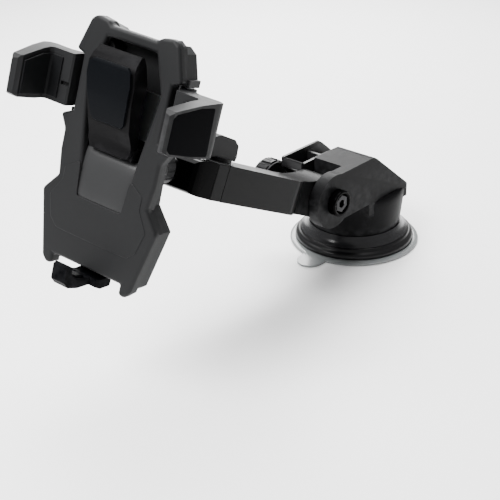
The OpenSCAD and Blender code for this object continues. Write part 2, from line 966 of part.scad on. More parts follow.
module bottom_foot() {
    color(charcoal)
        cradle_frame() {
            cross_plate(16)
                polygon([[-57.6, -7.2], [-57.6, -4.4], [-30.6, -4.4], [-30.6, -7.2]]);
            cross_plate(16)
                polygon([[-61.4, -6.6], [-61.8, 0], [-60.4, 4], [-56.6, 4], [-57.2, 0],
                    [-56.6, -4.4], [-56.6, -7.2], [-60.6, -7.2]]);
            cross_plate(8)
                polygon([[-60.4, 3.9], [-60.8, 12], [-59.6, 19], [-56.8, 22], [-49.6, 22.2],
                    [-48.6, 20.6], [-49.4, 18.6], [-54, 17.4], [-55.6, 14], [-56.4, 8],
                    [-56.6, 3.9]]);
        }
}

module foot_pad() {
    color(rubber)
        cradle_frame()
            cross_plate(6.4)
                polygon([[-56.4, 8], [-55.6, 14], [-54, 17.4], [-53.2, 16.8], [-54.6, 13.6],
                    [-55.4, 8]]);
}

suction_pad();
suction_ring();
step_ring();
base_housing();
pivot_boss();
pivot_bolt();
pivot_washers();
stem_spring();
cam_plate();
base_screws();
suction_stem();
lever_pin();
lock_lever();
pivot_knob();
outer_arm_tube();
arm_collar();
clamp_shoe();
telescope_knob();
inner_arm_tube();
arm_head();
ball_stud();
ball_liner_inner();
ball_liner_outer();
ball_nut();
ball_socket();
rear_shell();
front_shell();
trigger_pin();
arm_pins();
arm_springs();
back_screws();
trigger_lever();
trigger_pad();
sync_plate();
right_arm();
right_arm_pad();
left_arm();
left_arm_pad();
right_release();
left_release();
bottom_foot();
foot_pad();
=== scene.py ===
"""Looks of the car phone mount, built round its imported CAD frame.

Every CAD node keeps its shape and place. A finished copy with rounded moulded edges, or a
piece built here, stands for each one, rides on the same body and wears its own finish.
"""

from __future__ import annotations

import json
import logging
import math
from dataclasses import dataclass
from enum import Enum
from typing import Iterable, Sequence

import bmesh
import bpy
from mathutils import Matrix, Vector


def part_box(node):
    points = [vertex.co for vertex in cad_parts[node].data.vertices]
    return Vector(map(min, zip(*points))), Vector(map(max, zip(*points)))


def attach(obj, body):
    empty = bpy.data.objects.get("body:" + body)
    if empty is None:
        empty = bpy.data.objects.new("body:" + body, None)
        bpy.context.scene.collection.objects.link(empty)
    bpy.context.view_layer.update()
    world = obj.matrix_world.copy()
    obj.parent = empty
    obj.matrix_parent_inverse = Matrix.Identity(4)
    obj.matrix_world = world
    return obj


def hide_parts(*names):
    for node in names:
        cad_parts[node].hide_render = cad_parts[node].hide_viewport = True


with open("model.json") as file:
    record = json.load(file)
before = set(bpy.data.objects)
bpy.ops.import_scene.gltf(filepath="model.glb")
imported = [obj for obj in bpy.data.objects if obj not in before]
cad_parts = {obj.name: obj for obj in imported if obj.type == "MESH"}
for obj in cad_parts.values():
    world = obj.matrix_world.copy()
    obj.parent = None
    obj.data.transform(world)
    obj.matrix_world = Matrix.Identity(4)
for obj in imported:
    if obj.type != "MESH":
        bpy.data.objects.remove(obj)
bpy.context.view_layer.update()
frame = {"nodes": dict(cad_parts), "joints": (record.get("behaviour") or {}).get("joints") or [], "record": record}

LOG = logging.getLogger("phone_mount")
MM = 0.001
Point2 = tuple[float, float]
Point3 = tuple[float, float, float]


# ---------------------------------------------------------------- frames of the object


@dataclass(frozen=True)
class LocalFrame:
    """A set of axes on the object, with millimetres for its own units.

    Attributes:
        origin: where it stands, in metres.
        x: direction of its first axis.
        y: direction of its second axis.
        z: direction of its third axis.
    """

    origin: Vector
    x: Vector
    y: Vector
    z: Vector

    def place(self, point: Sequence[float]) -> Vector:
        """Returns the row-frame position of a local point given in millimetres."""
        along = self.x * point[0] + self.y * point[1] + self.z * point[2]
        return self.origin + along * MM

    def matrix(self) -> Matrix:
        """Returns the transform from local millimetres to row-frame metres."""
        turn = Matrix((self.x, self.y, self.z)).transposed().to_4x4()
        return Matrix.Translation(self.origin) @ turn @ Matrix.Scale(MM, 4)


def joint(name: str) -> dict:
    """Returns the record's joint of that name."""
    return next(j for j in frame["joints"] if j["name"] == name)


def cradle_frame() -> LocalFrame:
    """Returns the cradle's axes: x to its right, y up its face, z out of its face."""
    right = -Vector(joint("trigger_hinge")["axis"])
    up = -Vector(joint("foot_slide")["axis"])
    out = Vector(joint("ball_roll")["axis"])
    hinge_y, hinge_z = 4.0, -5.0
    origin = Vector(joint("trigger_hinge")["pos_m"]) - (up * hinge_y + out * hinge_z) * MM
    return LocalFrame(origin, right, up, out)


def base_frame() -> LocalFrame:
    """Returns the base's axes, which are the row's own."""
    return LocalFrame(Vector(), Vector((1, 0, 0)), Vector((0, 1, 0)), Vector((0, 0, 1)))


# ---------------------------------------------------------------- shader groups


class ShaderGroups:
    """Shader node groups that more than one finish uses, each built once."""

    def __init__(self) -> None:
        """Builds the groups."""
        self.grain = self._moulded_grain()
        self.scuffs_and_highlight = self._edge_scuffs_and_highlight()
        self.dust = self._settled_dust()

    @staticmethod
    def _new(name: str, inputs: dict[str, float], outputs: Iterable[str]) -> bpy.types.NodeTree:
        """Makes an empty group with number sockets.

        Args:
            name: the group's name.
            inputs: each input's name and default.
            outputs: the outputs' names.

        Returns:
            The node tree.
        """
        tree = bpy.data.node_groups.new(name, "ShaderNodeTree")
        for label, value in inputs.items():
            socket = tree.interface.new_socket(label, in_out="INPUT", socket_type="NodeSocketFloat")
            socket.default_value = value
        for label in outputs:
            tree.interface.new_socket(label, in_out="OUTPUT", socket_type="NodeSocketFloat")
        return tree

    def _moulded_grain(self) -> bpy.types.NodeTree:
        """Returns a group with the fine texture of moulded plastic and its uneven gloss."""
        tree = self._new(
            "moulded_grain",
            {"Scale": 2600.0, "Roughness": 0.45, "Variation": 0.08},
            ("Height", "Roughness", "Tone"),
        )
        add, link = tree.nodes.new, tree.links.new
        source, result = add("NodeGroupInput"), add("NodeGroupOutput")
        coords = add("ShaderNodeTexCoord")
        fine = add("ShaderNodeTexNoise")
        fine.inputs["Detail"].default_value = 3.0
        fine.inputs["Roughness"].default_value = 0.6
        pebbles = add("ShaderNodeTexVoronoi")
        pebbles.feature = "SMOOTH_F1"
        clouds = add("ShaderNodeTexNoise")
        clouds.inputs["Scale"].default_value = 46.0
        clouds.inputs["Detail"].default_value = 4.0
        for texture in (fine, pebbles, clouds):
            link(coords.outputs["Object"], texture.inputs["Vector"])
        link(source.outputs["Scale"], fine.inputs["Scale"])
        link(source.outputs["Scale"], pebbles.inputs["Scale"])
        blend = add("ShaderNodeMath")
        blend.operation = "MULTIPLY_ADD"
        blend.inputs[1].default_value = 0.5
        link(pebbles.outputs["Distance"], blend.inputs[0])
        link(fine.outputs["Fac"], blend.inputs[2])
        link(blend.outputs[0], result.inputs["Height"])
        centred = add("ShaderNodeMath")
        centred.operation = "SUBTRACT"
        centred.inputs[1].default_value = 0.5
        link(clouds.outputs["Fac"], centred.inputs[0])
        uneven = add("ShaderNodeMath")
        uneven.operation = "MULTIPLY_ADD"
        link(centred.outputs[0], uneven.inputs[0])
        link(source.outputs["Variation"], uneven.inputs[1])
        link(source.outputs["Roughness"], uneven.inputs[2])
        link(uneven.outputs[0], result.inputs["Roughness"])
        link(clouds.outputs["Fac"], result.inputs["Tone"])
        return tree

    def _edge_scuffs_and_highlight(self) -> bpy.types.NodeTree:
        """Returns a group whose mask is bright on convex edges, for scuffs and a painted highlight along them."""
        tree = self._new("edge_scuffs_and_highlight", {"Amount": 0.5, "Breakup": 240.0}, ("Mask",))
        add, link = tree.nodes.new, tree.links.new
        source, result = add("NodeGroupInput"), add("NodeGroupOutput")
        shape = add("ShaderNodeNewGeometry")
        # Convex edges make the mask: scuffs, and a painted highlight along the edges.
        ridge = add("ShaderNodeMapRange")
        ridge.inputs["From Min"].default_value = 0.55
        ridge.inputs["From Max"].default_value = 0.68
        link(shape.outputs["Pointiness"], ridge.inputs["Value"])
        coords = add("ShaderNodeTexCoord")
        patches = add("ShaderNodeTexNoise")
        patches.inputs["Detail"].default_value = 5.0
        link(coords.outputs["Object"], patches.inputs["Vector"])
        link(source.outputs["Breakup"], patches.inputs["Scale"])
        broken = add("ShaderNodeMapRange")
        broken.inputs["From Min"].default_value = 0.35
        broken.inputs["From Max"].default_value = 0.7
        link(patches.outputs["Fac"], broken.inputs["Value"])
        both = add("ShaderNodeMath")
        both.operation = "MULTIPLY"
        link(ridge.outputs["Result"], both.inputs[0])
        link(broken.outputs["Result"], both.inputs[1])
        scaled = add("ShaderNodeMath")
        scaled.operation = "MULTIPLY"
        scaled.use_clamp = True
        link(both.outputs[0], scaled.inputs[0])
        link(source.outputs["Amount"], scaled.inputs[1])
        link(scaled.outputs[0], result.inputs["Mask"])
        return tree

    def _settled_dust(self) -> bpy.types.NodeTree:
        """Returns a group whose mask is faint on faces that look up."""
        tree = self._new("settled_dust", {"Amount": 0.1}, ("Mask",))
        add, link = tree.nodes.new, tree.links.new
        source, result = add("NodeGroupInput"), add("NodeGroupOutput")
        shape = add("ShaderNodeNewGeometry")
        parts = add("ShaderNodeSeparateXYZ")
        link(shape.outputs["Normal"], parts.inputs[0])
        upward = add("ShaderNodeMapRange")
        upward.inputs["From Min"].default_value = 0.2
        upward.inputs["From Max"].default_value = 1.0
        link(parts.outputs["Z"], upward.inputs["Value"])
        coords = add("ShaderNodeTexCoord")
        specks = add("ShaderNodeTexNoise")
        specks.inputs["Scale"].default_value = 900.0
        specks.inputs["Detail"].default_value = 6.0
        link(coords.outputs["Object"], specks.inputs["Vector"])
        sparse = add("ShaderNodeMapRange")
        sparse.inputs["From Min"].default_value = 0.5
        sparse.inputs["From Max"].default_value = 0.75
        link(specks.outputs["Fac"], sparse.inputs["Value"])
        both = add("ShaderNodeMath")
        both.operation = "MULTIPLY"
        link(upward.outputs["Result"], both.inputs[0])
        link(sparse.outputs["Result"], both.inputs[1])
        scaled = add("ShaderNodeMath")
        scaled.operation = "MULTIPLY"
        link(both.outputs[0], scaled.inputs[0])
        link(source.outputs["Amount"], scaled.inputs[1])
        link(scaled.outputs[0], result.inputs["Mask"])
        return tree


# ---------------------------------------------------------------- finishes


@dataclass(frozen=True)
class Finish:
    """A surface finish and the numbers of its material.

    Attributes:
        name: the material's name.
        slot: the record's material slot that it belongs to; not used.
        colour: base colour, linear.
        scuffed_highlight_colour: colour on convex edges, partly scuffs and partly a painted highlight.
        roughness: mean roughness.
        variation: how far the roughness wanders.
        grain: texture cells per metre.
        bump: depth of the texture, in metres.
        metallic: 1 for bare metal.
        coat: weight of a clear gloss coat.
        scuffs_and_highlight: strength of the scuffed edges and their painted highlight.
        dust: strength of the dust.
        transmission: weight of light let through.
        specular: specular level.
    """

    name: str
    slot: str
    colour: Point3
    scuffed_highlight_colour: Point3
    roughness: float
    variation: float = 0.05
    grain: float = 2600.0
    bump: float = 0.00002
    metallic: float = 0.0
    coat: float = 0.0
    scuffs_and_highlight: float = 0.35
    dust: float = 0.003
    transmission: float = 0.0
    specular: float = 0.5

    def material(self, groups: ShaderGroups) -> bpy.types.Material:
        """Builds the material.

        Args:
            groups: the shared shader groups.

        Returns:
            The new material.
        """
        made = bpy.data.materials.new(self.name)
        made.use_nodes = True
        tree = made.node_tree
        add, link = tree.nodes.new, tree.links.new
        shader = tree.nodes["Principled BSDF"]
        shader.inputs["Metallic"].default_value = self.metallic
        shader.inputs["Specular IOR Level"].default_value = self.specular
        shader.inputs["Coat Weight"].default_value = self.coat
        shader.inputs["Coat Roughness"].default_value = 0.06
        shader.inputs["Transmission Weight"].default_value = self.transmission
        grain, scuffs_and_highlight, dust = (add("ShaderNodeGroup") for _ in range(3))
        grain.node_tree, scuffs_and_highlight.node_tree, dust.node_tree = groups.grain, groups.scuffs_and_highlight, groups.dust
        grain.inputs["Scale"].default_value = self.grain
        grain.inputs["Roughness"].default_value = self.roughness
        grain.inputs["Variation"].default_value = self.variation
        scuffs_and_highlight.inputs["Amount"].default_value = self.scuffs_and_highlight
        dust.inputs["Amount"].default_value = self.dust
        tones = add("ShaderNodeMix")
        tones.data_type = "RGBA"
        tones.inputs[6].default_value = (*(c * 0.95 for c in self.colour), 1.0)
        tones.inputs[7].default_value = (*(min(1.0, c * 1.06) for c in self.colour), 1.0)
        link(grain.outputs["Tone"], tones.inputs[0])
        # Convex edges get a lighter colour: scuffs, and also a painted highlight.
        scuffed_and_lit = add("ShaderNodeMix")
        scuffed_and_lit.data_type = "RGBA"
        scuffed_and_lit.inputs[7].default_value = (*self.scuffed_highlight_colour, 1.0)
        link(scuffs_and_highlight.outputs["Mask"], scuffed_and_lit.inputs[0])
        link(tones.outputs[2], scuffed_and_lit.inputs[6])
        dusted = add("ShaderNodeMix")
        dusted.data_type = "RGBA"
        dusted.inputs[7].default_value = (0.42, 0.42, 0.41, 1.0)
        link(dust.outputs["Mask"], dusted.inputs[0])
        link(scuffed_and_lit.outputs[2], dusted.inputs[6])
        link(dusted.outputs[2], shader.inputs["Base Color"])
        link(grain.outputs["Roughness"], shader.inputs["Roughness"])
        bump = add("ShaderNodeBump")
        bump.inputs["Strength"].default_value = 1.0
        bump.inputs["Distance"].default_value = self.bump
        link(grain.outputs["Height"], bump.inputs["Height"])
        link(bump.outputs["Normal"], shader.inputs["Normal"])
        return made


class FinishKind(Enum):
    """The finishes of the mount's pieces."""

    GEL = Finish("clear_gel", "gel", (0.24, 0.255, 0.255), (0.4, 0.4, 0.4), 0.22, bump=0.000008,
                 scuffs_and_highlight=0.0, transmission=0.3, grain=900.0)
    RING = Finish("satin_black_ring", "ring_black", (0.004, 0.004, 0.0045), (0.02, 0.02, 0.02),
                  0.30, specular=0.18)
    BAND = Finish("satin_step_band", "step_band", (0.010, 0.010, 0.011), (0.10, 0.10, 0.10), 0.24,
                  scuffs_and_highlight=0.3, bump=0.000004, specular=0.3)
    HOUSING = Finish("grained_black_housing", "housing_black", (0.0048, 0.0049, 0.0052),
                     (0.035, 0.035, 0.037), 0.42, specular=0.035)
    SHELL = Finish("charcoal_abs", "charcoal_shell", (0.0108, 0.0110, 0.0115),
                   (0.06, 0.06, 0.062), 0.48, bump=0.00003, specular=0.10)
    # The shell's plastic, smoother, with a colour lighter than the shell's: painted light on the tongue, which
    # tilts up toward the lamps.
    RAMP = Finish("smooth_charcoal_abs_painted_light", "charcoal_shell", (0.0200, 0.0202, 0.0208),
                  (0.07, 0.07, 0.072), 0.36, bump=0.00001, specular=0.14)
    TRIGGER = Finish("smooth_black_abs", "charcoal_shell", (0.0030, 0.0029, 0.0032),
                     (0.03, 0.03, 0.032), 0.34, bump=0.00001, specular=0.03)
    LEVER = Finish("satin_lever", "lever_black", (0.0085, 0.0085, 0.009), (0.06, 0.06, 0.062), 0.32,
                   specular=0.14)
    ARM = Finish("satin_grey_arm", "arm_grey", (0.0048, 0.0049, 0.0051), (0.06, 0.06, 0.062), 0.36,
                 bump=0.00001, specular=0.05)
    GLOSS = Finish("piano_black", "gloss_black", (0.0006, 0.0006, 0.0007), (0.012, 0.012, 0.012),
                   0.14, variation=0.02, bump=0.000003, scuffs_and_highlight=0.12, specular=0.02)
    RUBBER = Finish("soft_rubber", "grip_rubber", (0.0014, 0.0015, 0.0019), (0.02, 0.02, 0.022),
                    0.42, grain=4200.0, bump=0.000012, specular=0.01)
    GRIP = Finish("grip_pad", "grip_rubber", (0.0050, 0.0052, 0.0056), (0.03, 0.03, 0.032), 0.40,
                  grain=4200.0, bump=0.000012, specular=0.06)
    PAD = Finish("trigger_rubber", "trigger_rubber", (0.0026, 0.0030, 0.0038), (0.03, 0.032, 0.036),
                 0.40, grain=4200.0, bump=0.000012, specular=0.02)
    STEEL = Finish("machined_steel", "steel", (0.30, 0.31, 0.32), (0.5, 0.5, 0.5), 0.3,
                   metallic=1.0, bump=0.000006, scuffs_and_highlight=0.2)
    STUD = Finish("blackened_steel", "steel", (0.012, 0.012, 0.013), (0.2, 0.2, 0.2), 0.28,
                  metallic=1.0, bump=0.000006, scuffs_and_highlight=0.2)
    CHROME = Finish("black_nickel", "bolt_chrome", (0.008, 0.008, 0.009), (0.2, 0.2, 0.2), 0.16,
                    metallic=1.0, bump=0.000003, scuffs_and_highlight=0.5)
    NYLON = Finish("moulded_nylon", "liner_nylon", (0.06, 0.06, 0.065), (0.12, 0.12, 0.12), 0.5,
                   specular=0.2)
    KNOB = Finish("satin_black_knob", "knob_black", (0.0035, 0.0035, 0.004), (0.03, 0.03, 0.03),
                  0.34, specular=0.10)


class Workshop:
    """Makes finished pieces: meshes, modifiers, materials and their places in the frame."""

    def __init__(self) -> None:
        """Builds the materials."""
        groups = ShaderGroups()
        self.materials = {kind: kind.value.material(groups) for kind in FinishKind}
        self.bodies = {
            node: name
            for name, nodes in frame["record"]["behaviour"]["bodies"].items()
            for node in nodes
        }

    def new_piece(self, name: str, mesh: bpy.types.Mesh) -> bpy.types.Object:
        """Puts a mesh in the scene as a new object.

        Args:
            name: the object's name.
            mesh: its mesh.

        Returns:
            The object.
        """
        piece = bpy.data.objects.new(name, mesh)
        bpy.context.scene.collection.objects.link(piece)
        return piece

    def bake(self, piece: bpy.types.Object) -> bpy.types.Object:
        """Turns the piece's modifiers into a plain mesh.

        Args:
            piece: an object with modifiers.

        Returns:
            The same object, with its evaluated mesh and no modifiers.
        """
        graph = bpy.context.evaluated_depsgraph_get()
        plain = bpy.data.meshes.new_from_object(piece.evaluated_get(graph))
        piece.modifiers.clear()
        piece.data = plain
        return piece

    def smooth(self, mesh: bpy.types.Mesh, angle: float = 34.0) -> None:
        """Shades faces smooth and keeps an edge sharp where it turns more than the angle.

        Args:
            mesh: the mesh to shade.
            angle: how far an edge may turn and stay smooth, in degrees.
        """
        work = bmesh.new()
        work.from_mesh(mesh)
        limit = math.radians(angle)
        for face in work.faces:
            face.smooth = True
        for edge in work.edges:
            edge.smooth = len(edge.link_faces) == 2 and edge.calc_face_angle(0.0) < limit
        work.to_mesh(mesh)
        work.free()

    def round_edges(
        self, piece: bpy.types.Object, width: float, segments: int = 3, angle: float = 32.0
    ) -> bpy.types.Object:
        """Rounds a piece's sharp edges and settles its shading.

        Args:
            piece: the object to round.
            width: radius of the rounding, in millimetres.
            segments: how many faces the rounding has.
            angle: edges that turn less than this, in degrees, are left alone.

        Returns:
            The same object, as a plain mesh.
        """
        bevel = piece.modifiers.new("edges", "BEVEL")
        bevel.width = width * MM
        bevel.segments = segments
        bevel.limit_method = "ANGLE"
        bevel.angle_limit = math.radians(angle)
        bevel.miter_outer = "MITER_ARC"
        bevel.use_clamp_overlap = True
        self.bake(piece)
        self.smooth(piece.data)
        weigh = piece.modifiers.new("weights", "WEIGHTED_NORMAL")
        weigh.keep_sharp = True
        return self.bake(piece)

    def dress(
        self, piece: bpy.types.Object, kind: FinishKind, body: str, *nodes: str
    ) -> bpy.types.Object:
        """Gives a piece its finish, body and the CAD nodes that it stands for.

        Args:
            piece: the finished object.
            kind: its finish.
            body: the body that it rides on.
            nodes: CAD nodes that it replaces.

        Returns:
            The same object.
        """
        piece.data.materials.clear()
        piece.data.materials.append(self.materials[kind])
        for face in piece.data.polygons:
            face.material_index = 0
        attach(piece, body)
        if nodes:
            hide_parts(*nodes)
        LOG.info("%s: %d faces, %s", piece.name, len(piece.data.polygons), kind.value.name)
        return piece

    def cad_copy(self, node: str) -> bpy.types.Object:
        """Copies a CAD node's mesh, welded and free of flat edges.

        Args:
            node: the CAD node.

        Returns:
            The copy, as a new object.
        """
        work = bmesh.new()
        work.from_mesh(frame["nodes"][node].data)
        bmesh.ops.remove_doubles(work, verts=work.verts, dist=2e-6)
        bmesh.ops.dissolve_limit(
            work, angle_limit=math.radians(0.5), verts=work.verts, edges=work.edges
        )
        mesh = bpy.data.meshes.new(node + "_finish")
        work.to_mesh(mesh)
        work.free()
        mesh.materials.clear()
        return self.new_piece(node + "_finish", mesh)

    def finish_node(
        self, node: str, kind: FinishKind, width: float, segments: int = 3, angle: float = 32.0
    ) -> bpy.types.Object:
        """Makes the finished copy of a CAD node, with rounded edges.

        Args:
            node: the CAD node.
            kind: its finish.
            width: radius of the rounding, in millimetres.
            segments: how many faces the rounding has.
            angle: edges that turn less than this, in degrees, stay as they are.

        Returns:
            The finished piece.
        """
        piece = self.round_edges(self.cad_copy(node), width, segments, angle)
        return self.dress(piece, kind, self.bodies[node], node)

    def join(self, piece: bpy.types.Object, *others: bpy.types.Object) -> None:
        """Adds other pieces' meshes to a piece and removes them.

        Args:
            piece: the piece that takes them in.
            others: the pieces that become part of it.
        """
        work = bmesh.new()
        work.from_mesh(piece.data)
        for other in others:
            work.from_mesh(other.data)
            bpy.data.objects.remove(other)
        mesh = bpy.data.meshes.new(piece.name)
        work.to_mesh(mesh)
        work.free()
        piece.data = mesh

    def piece_from(
        self, name: str, work: bmesh.types.BMesh, place: LocalFrame, angle: float = 34.0
    ) -> bpy.types.Object:
        """Turns a bmesh in local millimetres into a smooth-shaded object in the row frame.

        Args:
            name: the new object's name.
            work: the mesh, which is freed.
            place: the frame that it is drawn in.
            angle: edges that turn more than this stay sharp.

        Returns:
            The new object.
        """
        bmesh.ops.remove_doubles(work, verts=work.verts, dist=1e-4)
        bmesh.ops.recalc_face_normals(work, faces=work.faces)
        bmesh.ops.transform(work, matrix=place.matrix(), verts=work.verts)
        mesh = bpy.data.meshes.new(name)
        work.to_mesh(mesh)
        work.free()
        self.smooth(mesh, angle)
        return self.new_piece(name, mesh)


# ---------------------------------------------------------------- outlines and solids


def mirrored(half: Sequence[Point2]) -> list[Point2]:
    """Returns a whole outline from its right half, listed from top to bottom."""
    return list(half) + [(-x, y) for x, y in reversed(half)]


def rounded(outline: Sequence[Point2], radius: float, steps: int = 4) -> list[Point2]:
    """Rounds every corner of a closed outline with an arc.

    Args:
        outline: the corners, in order.
        radius: the arcs' radius, in millimetres, less where an edge is short.
        steps: how many points each arc has, less one.

    Returns:
        The rounded outline.
    """
    result: list[Point2] = []
    count = len(outline)
    for i, corner in enumerate(outline):
        here = Vector(corner)
        before, after = Vector(outline[i - 1]) - here, Vector(outline[(i + 1) % count]) - here
        half_angle = before.angle(after) / 2
        reach = min(radius / math.tan(half_angle), 0.45 * min(before.length, after.length))
        start, end = here + before.normalized() * reach, here + after.normalized() * reach
        for k in range(steps + 1):
            t = k / steps
            point = start * (1 - t) ** 2 + here * 2 * t * (1 - t) + end * t * t
            result.append((point.x, point.y))
    return result


def inset(outline: Sequence[Point2], depth: float) -> list[Point2]:
    """Moves every corner of a closed outline in along its bisector.

    Args:
        outline: the corners, in either order.
        depth: how far each edge moves in, or out where it is negative.

    Returns:
        The moved outline.
    """
    count = len(outline)
    area = sum(outline[i - 1][0] * outline[i][1] - outline[i][0] * outline[i - 1][1]
               for i in range(count))
    turn = 1.0 if area > 0 else -1.0
    moved = []
    for i, corner in enumerate(outline):
        here = Vector(corner)
        back = (here - Vector(outline[i - 1])).normalized()
        ahead = (Vector(outline[(i + 1) % count]) - here).normalized()
        inward = Vector((-(back.y + ahead.y), back.x + ahead.x)) * turn
        inward = inward.normalized() if inward.length > 1e-6 else Vector((-back.y, back.x)) * turn
        cosine = max(0.5, inward.dot(Vector((-back.y, back.x)) * turn))
        point = here + inward * (depth / cosine)
        moved.append((point.x, point.y))
    return moved


def loft(rings: Sequence[Sequence[Point3]], closed_ends: bool = True) -> bmesh.types.BMesh:
    """Joins rings with the same number of points into one skin.

    Args:
        rings: the sections, in order.
        closed_ends: whether the first and the last ring get a face.

    Returns:
        The skin.
    """
    work = bmesh.new()
    rows = [[work.verts.new(p) for p in ring] for ring in rings]
    for low, high in zip(rows, rows[1:]):
        for i in range(len(low)):
            j = (i + 1) % len(low)
            work.faces.new((low[i], low[j], high[j], high[i]))
    if closed_ends:
        work.faces.new(list(reversed(rows[0])))
        work.faces.new(rows[-1])
    return work


def lathe(profile: Sequence[Point2], steps: int = 144) -> bmesh.types.BMesh:
    """Turns a closed outline of radius and height round the z axis.

    Args:
        profile: the outline, as radius and z.
        steps: how many sides the turned solid has.

    Returns:
        The turned skin.
    """
    angles = [2 * math.pi * k / steps for k in range(steps)]
    rings = [[(r * math.cos(a), r * math.sin(a), z) for a in angles]
             for r, z in (*profile, profile[0])]
    return loft(rings, closed_ends=False)


# ---------------------------------------------------------------- repeated details


@dataclass(frozen=True)
class RibRing:
    """A ring of equal ribs, made by a geometry node tree.

    Attributes:
        count: number of ribs.
        radius: distance of their centres from the axis, in metres.
        size: each rib's reach, width and height, in metres.
    """

    count: int
    radius: float
    size: Point3

    @staticmethod
    def tree() -> bpy.types.NodeTree:
        """Returns the node tree, which is built once."""
        known = bpy.data.node_groups.get("rib_ring")
        if known:
            return known
        tree = bpy.data.node_groups.new("rib_ring", "GeometryNodeTree")
        face = tree.interface
        face.new_socket("Count", in_out="INPUT", socket_type="NodeSocketInt")
        face.new_socket("Radius", in_out="INPUT", socket_type="NodeSocketFloat")
        face.new_socket("Size", in_out="INPUT", socket_type="NodeSocketVector")
        face.new_socket("Finish", in_out="INPUT", socket_type="NodeSocketMaterial")
        face.new_socket("Geometry", in_out="OUTPUT", socket_type="NodeSocketGeometry")
        add, link = tree.nodes.new, tree.links.new
        source, result = add("NodeGroupInput"), add("NodeGroupOutput")
        circle = add("GeometryNodeMeshCircle")
        link(source.outputs["Count"], circle.inputs["Vertices"])
        link(source.outputs["Radius"], circle.inputs["Radius"])
        rib = add("GeometryNodeMeshCube")
        link(source.outputs["Size"], rib.inputs["Size"])
        place = add("GeometryNodeInputPosition")
        turn = add("FunctionNodeAlignRotationToVector")
        turn.axis = "X"
        turn.pivot_axis = "Z"
        link(place.outputs[0], turn.inputs["Vector"])
        copies = add("GeometryNodeInstanceOnPoints")
        link(circle.outputs["Mesh"], copies.inputs["Points"])
        link(rib.outputs["Mesh"], copies.inputs["Instance"])
        link(turn.outputs["Rotation"], copies.inputs["Rotation"])
        real = add("GeometryNodeRealizeInstances")
        link(copies.outputs["Instances"], real.inputs["Geometry"])
        paint = add("GeometryNodeSetMaterial")
        link(real.outputs["Geometry"], paint.inputs["Geometry"])
        link(source.outputs["Finish"], paint.inputs["Material"])
        link(paint.outputs["Geometry"], result.inputs["Geometry"])
        return tree

    def build(self, shop: Workshop, name: str, place: LocalFrame, kind: FinishKind,
              body: str, width: float = 0.25) -> bpy.types.Object:
        """Makes the ribs as one plain mesh.

        Args:
            shop: the workshop.
            name: the piece's name.
            place: the frame whose z axis the ring goes round.
            kind: the ribs' finish.
            body: the body that they ride on.
            width: radius of their rounded edges, in millimetres.

        Returns:
            The piece.
        """
        piece = shop.new_piece(name, bpy.data.meshes.new(name))
        ribs = piece.modifiers.new("ribs", "NODES")
        ribs.node_group = self.tree()
        names = {s.name: s.identifier for s in ribs.node_group.interface.items_tree
                 if s.in_out == "INPUT"}
        ribs[names["Count"]] = self.count
        ribs[names["Radius"]] = self.radius
        ribs[names["Size"]] = self.size
        ribs[names["Finish"]] = shop.materials[kind]
        shop.bake(piece)
        turn = Matrix((place.x, place.y, place.z)).transposed().to_4x4()
        piece.data.transform(Matrix.Translation(place.origin) @ turn)
        shop.round_edges(piece, width, 2)
        return shop.dress(piece, kind, body)


# ---------------------------------------------------------------- sub-assemblies


@dataclass
class SuctionBase:
    """The gel pad, the rings, the housing with its pivot ear, and what is inside.

    Attributes:
        housing_edge: rounding of the housing's edges, in millimetres.
        ring: section of the suction ring, as radius and height, in millimetres.
        flare: section of the flared step over it, as radius and height, in millimetres.
    """

    housing_edge: float = 0.7
    ring: tuple[Point2, ...] = (
        (24, 2), (36, 2), (36.6, 2.3), (36.8, 2.9), (36.8, 4), (36.5, 4.9), (35.8, 5.6), (34.9, 6),
        (34.3, 6.5), (34.1, 7.2), (33.7, 7.9), (32.6, 8.2), (24, 8.2),
    )
    flare: tuple[Point2, ...] = (
        (24, 8.2), (32.7, 8.21), (33.1, 8.5), (32.7, 8.9), (31.7, 9.6), (30.8, 10.6), (30.1, 11.8),
        (29.5, 13), (28.9, 14), (24, 14),
    )

    def build(self, shop: Workshop) -> None:
        """Makes every piece of the base.

        Args:
            shop: the workshop that finishes the pieces.
        """
        shop.finish_node("suction_pad", FinishKind.GEL, 0.35)
        for node, profile, kind in (("suction_ring", self.ring, FinishKind.RING),
                                    ("step_ring", self.flare, FinishKind.BAND)):
            turned = shop.piece_from(f"{node}_finish", lathe(profile), base_frame(), 50)
            shop.dress(turned, kind, "base", node)
        shop.finish_node("base_housing", FinishKind.HOUSING, self.housing_edge)
        shop.finish_node("pivot_boss", FinishKind.GLOSS, 0.8)
        shop.finish_node("pivot_bolt", FinishKind.CHROME, 0.35)
        for node in ("pivot_washers", "cam_plate", "base_screws", "lever_pin"):
            shop.finish_node(node, FinishKind.STEEL, 0.12, 2)
        shop.finish_node("stem_spring", FinishKind.STEEL, 0.05, 1, 80.0)
        shop.finish_node("suction_stem", FinishKind.KNOB, 0.3, 2)


@dataclass
class LockLever:
    """The scoop-shaped lever that pulls the pad's centre up.

    Attributes:
        edge: rounding of its rims, in millimetres.
    """

    edge: float = 0.6

    def build(self, shop: Workshop) -> None:
        """Makes the lever."""
        shop.finish_node("lock_lever", FinishKind.LEVER, self.edge)


